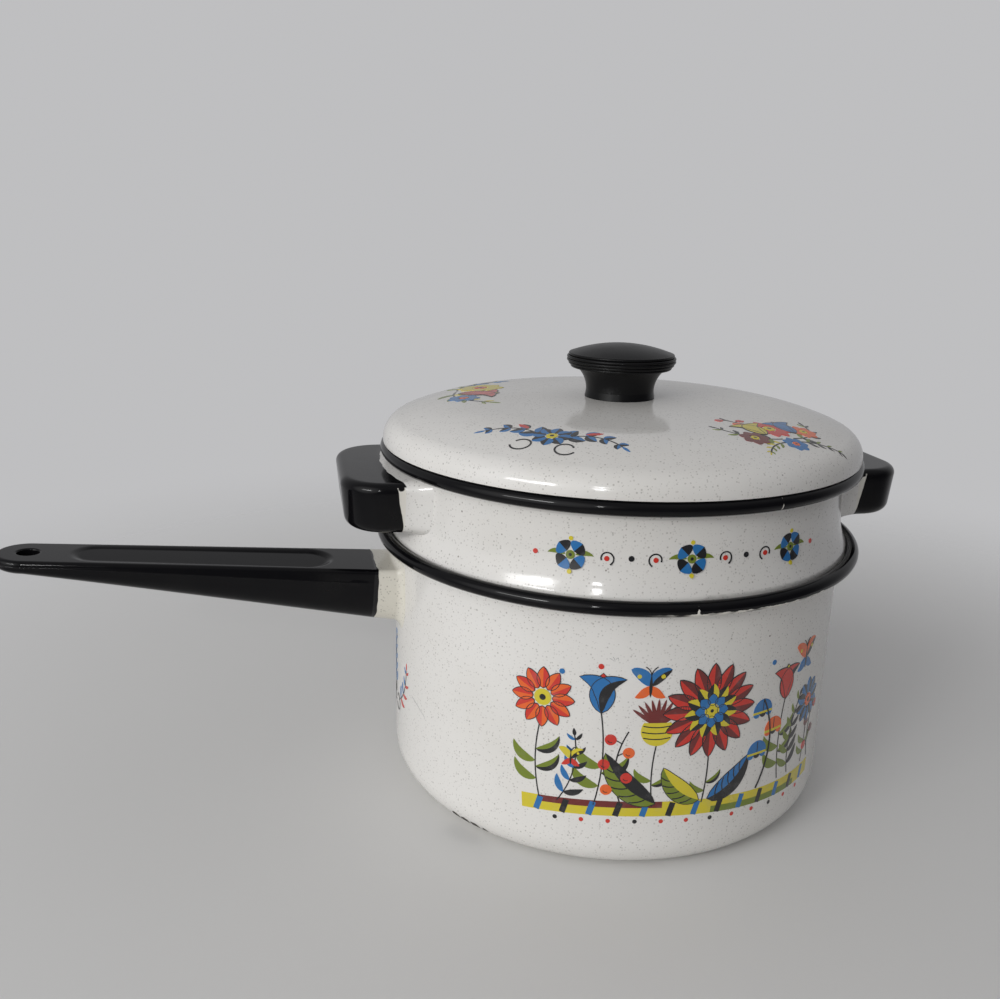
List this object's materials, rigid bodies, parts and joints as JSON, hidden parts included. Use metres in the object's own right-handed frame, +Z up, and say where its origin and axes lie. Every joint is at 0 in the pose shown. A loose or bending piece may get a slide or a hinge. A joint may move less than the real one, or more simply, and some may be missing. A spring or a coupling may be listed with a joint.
{
  "type": "double boiler",
  "caption": "Two-tier enamelled double boiler: saucepan with a long handle, drop-in upper pan with two side handles, domed lid with a round knob.",
  "frame": {"origin": "centre of the lower pan's flat base", "axes": "+Z up the pan's axis; the long handle points along -X and the side handles lie on the X axis"},
  "size_m": [0.3249, 0.18, 0.1655],
  "materials": {
    "white_enamel": "gloss",
    "black_enamel": "gloss",
    "black_phenolic": "satin gloss",
    "plated_steel": "dull",
    "brass": "dull"
  },
  "bodies": {
    "pan": {"pan_body": "white_enamel", "pan_rim": "black_enamel", "long_handle": "black_enamel", "long_handle_root": "white_enamel"},
    "insert": {"insert_body": "white_enamel", "insert_rim": "black_enamel", "side_handle_left": "black_enamel", "side_handle_right": "black_enamel", "side_roots_left": "white_enamel", "side_roots_right": "white_enamel"},
    "lid": {"lid_body": "white_enamel", "lid_ring": "white_enamel", "knob": "black_phenolic", "knob_bush": "brass", "knob_screw": "plated_steel", "knob_washer": "plated_steel"}
  },
  "joints": [
    {"name": "insert_lift", "type": "slide", "parent": "pan", "child": "insert", "axis": [0, 0, 1], "range_m": [0, 0.1]},
    {"name": "lid_lift", "type": "slide", "parent": "insert", "child": "lid", "axis": [0, 0, 1], "range_m": [0, 0.06]}
  ]
}
